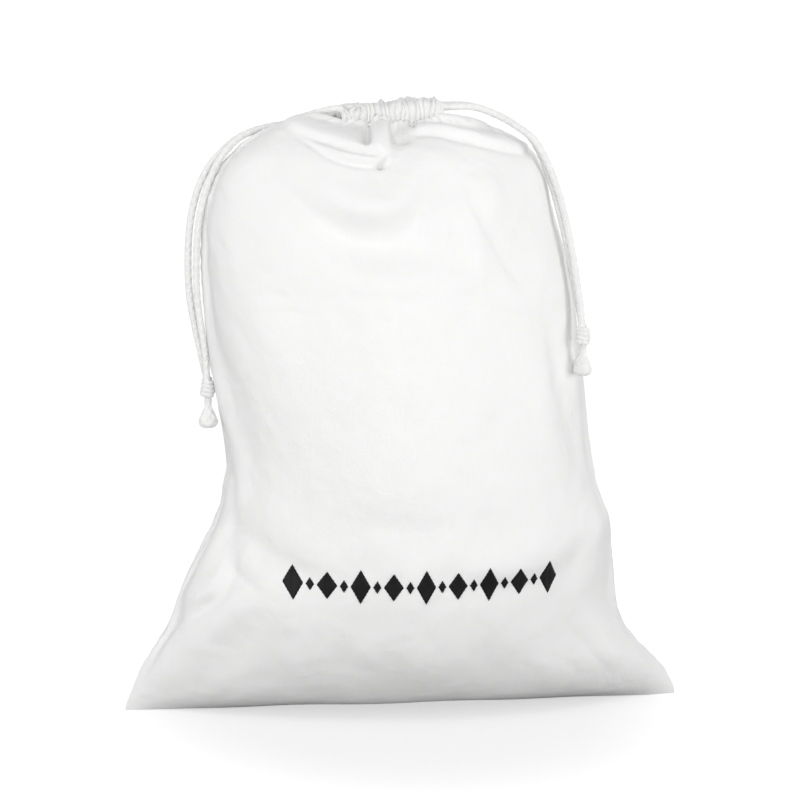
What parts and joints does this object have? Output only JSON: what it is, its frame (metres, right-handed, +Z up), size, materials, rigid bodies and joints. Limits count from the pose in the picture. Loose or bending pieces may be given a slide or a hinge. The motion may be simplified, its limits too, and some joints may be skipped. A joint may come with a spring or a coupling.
{
  "type": "drawstring laundry bag",
  "caption": "White cotton laundry bag, filled and standing, with a gathered mouth, braided drawstrings with knotted teardrop ends, and an embroidered lozenge band.",
  "frame": {"origin": "on the floor, in the middle of the bottom seam", "axes": "+X to the right seen from the front, -Y towards the front with the embroidered band, +Z up through the mouth"},
  "size_m": [0.4, 0.2382, 0.437],
  "materials": {
    "cotton": "plain-weave white cotton, soft matte",
    "cord": "braided white cotton cord",
    "sewing_thread": "white sewing thread",
    "black_thread": "black satin-stitch embroidery thread"
  },
  "bodies": {
    "bag": {"front_panel": "cotton", "back_panel": "cotton", "left_seam_thread": "sewing_thread", "right_seam_thread": "sewing_thread", "bottom_seam_thread": "sewing_thread", "embroidered_motif": "black_thread"},
    "front_hem": {"front_casing": "cotton", "front_casing_stitching": "sewing_thread"},
    "back_hem": {"back_casing": "cotton", "back_casing_stitching": "sewing_thread"},
    "left_cord": {"left_cord_loop": "cord", "left_cord_front_strand_top": "cord", "left_cord_back_strand_top": "cord"},
    "left_tail": {"left_cord_front_strand": "cord", "left_cord_back_strand": "cord", "left_cord_knot": "cord"},
    "left_end": {"left_cord_end": "cord"},
    "right_cord": {"right_cord_loop": "cord", "right_cord_front_strand_top": "cord", "right_cord_back_strand_top": "cord"},
    "right_tail": {"right_cord_front_strand": "cord", "right_cord_back_strand": "cord", "right_cord_knot": "cord"},
    "right_end": {"right_cord_end": "cord"}
  },
  "joints": [
    {"name": "mouth_front_open", "type": "hinge", "parent": "bag", "child": "front_hem", "pos_m": [-0.008, -0.019, 0.42], "axis": [1, 0, 0], "range_deg": [0, 24]},
    {"name": "mouth_back_open", "type": "hinge", "parent": "bag", "child": "back_hem", "pos_m": [-0.008, 0.019, 0.42], "axis": [-1, 0, 0], "range_deg": [0, 24]},
    {"name": "left_cord_pull", "type": "slide", "parent": "bag", "child": "left_cord", "axis": [-1, 0, 0], "range_m": [0, 0.006]},
    {"name": "left_tail_swing", "type": "hinge", "parent": "left_cord", "child": "left_tail", "pos_m": [-0.1444, 0, 0.37553], "axis": [0, 1, 0], "range_deg": [0, 65]},
    {"name": "left_end_swing", "type": "hinge", "parent": "left_tail", "child": "left_end", "pos_m": [-0.1394, 0, 0.22044], "axis": [0, 1, 0], "range_deg": [0, 50]},
    {"name": "right_cord_pull", "type": "slide", "parent": "bag", "child": "right_cord", "axis": [1, 0, 0], "range_m": [0, 0.006]},
    {"name": "right_tail_swing", "type": "hinge", "parent": "right_cord", "child": "right_tail", "pos_m": [0.1016, -0.0335, 0.37553], "axis": [0, -1, 0], "range_deg": [0, 65]},
    {"name": "right_end_swing", "type": "hinge", "parent": "right_tail", "child": "right_end", "pos_m": [0.1182, -0.0605, 0.26044], "axis": [0, -1, 0], "range_deg": [0, 50]}
  ],
  "couplings": [
    {"joint": "mouth_back_open", "follows": "mouth_front_open", "ratio": 1}
  ]
}
